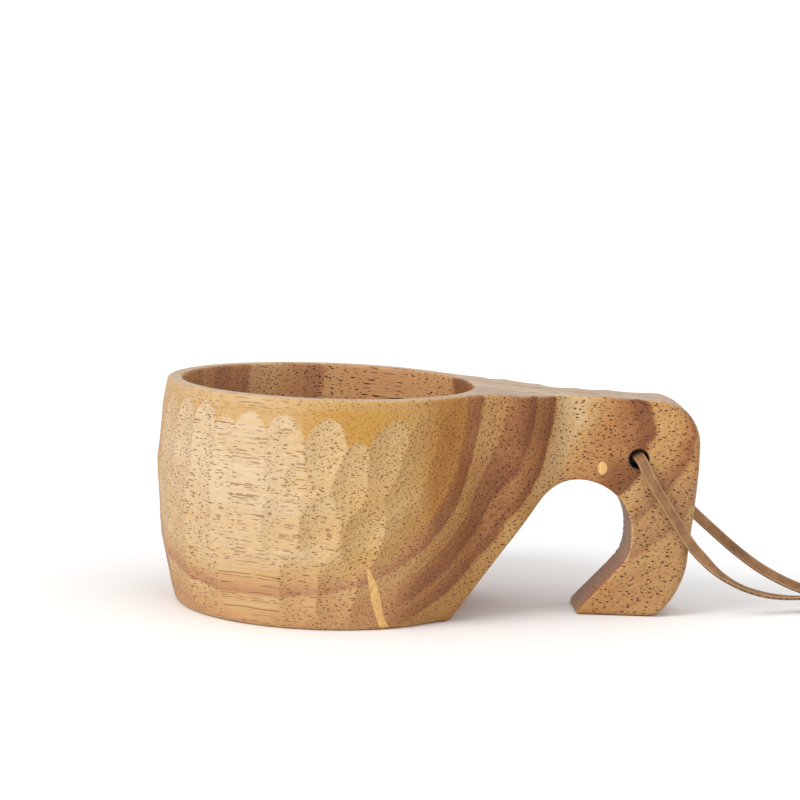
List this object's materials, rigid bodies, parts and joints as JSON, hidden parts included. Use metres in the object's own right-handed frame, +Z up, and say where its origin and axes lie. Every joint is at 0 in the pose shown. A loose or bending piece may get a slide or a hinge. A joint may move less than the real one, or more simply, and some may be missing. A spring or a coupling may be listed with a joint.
{
  "type": "wooden cup",
  "caption": "Carved round wooden drinking cup with a hooked handle, a finger gap under it and a knotted leather hanging lace.",
  "frame": {"origin": "where the bowl's axis meets the table, in the plane of the flat foot", "axes": "+Z up along the bowl's axis, +X from the bowl towards the handle, Y across the handle's thickness"},
  "size_m": [0.2076, 0.09, 0.06],
  "materials": {
    "carved_wood": "oiled, satin, open-pored",
    "filler_wood": "oiled, satin",
    "lace_leather": "matt, waxed"
  },
  "bodies": {
    "cup": {"cup_body": "carved_wood", "handle_filler": "filler_wood", "foot_filler": "filler_wood"},
    "lace": {"lace_front": "lace_leather", "lace_back": "lace_leather", "lace_knot": "lace_leather"}
  },
  "joints": [
    {"name": "lace_swing", "type": "hinge", "parent": "cup", "child": "lace", "pos_m": [0.0834, 0, 0.0427], "axis": [0, -1, 0], "range_deg": [0, 110]}
  ]
}
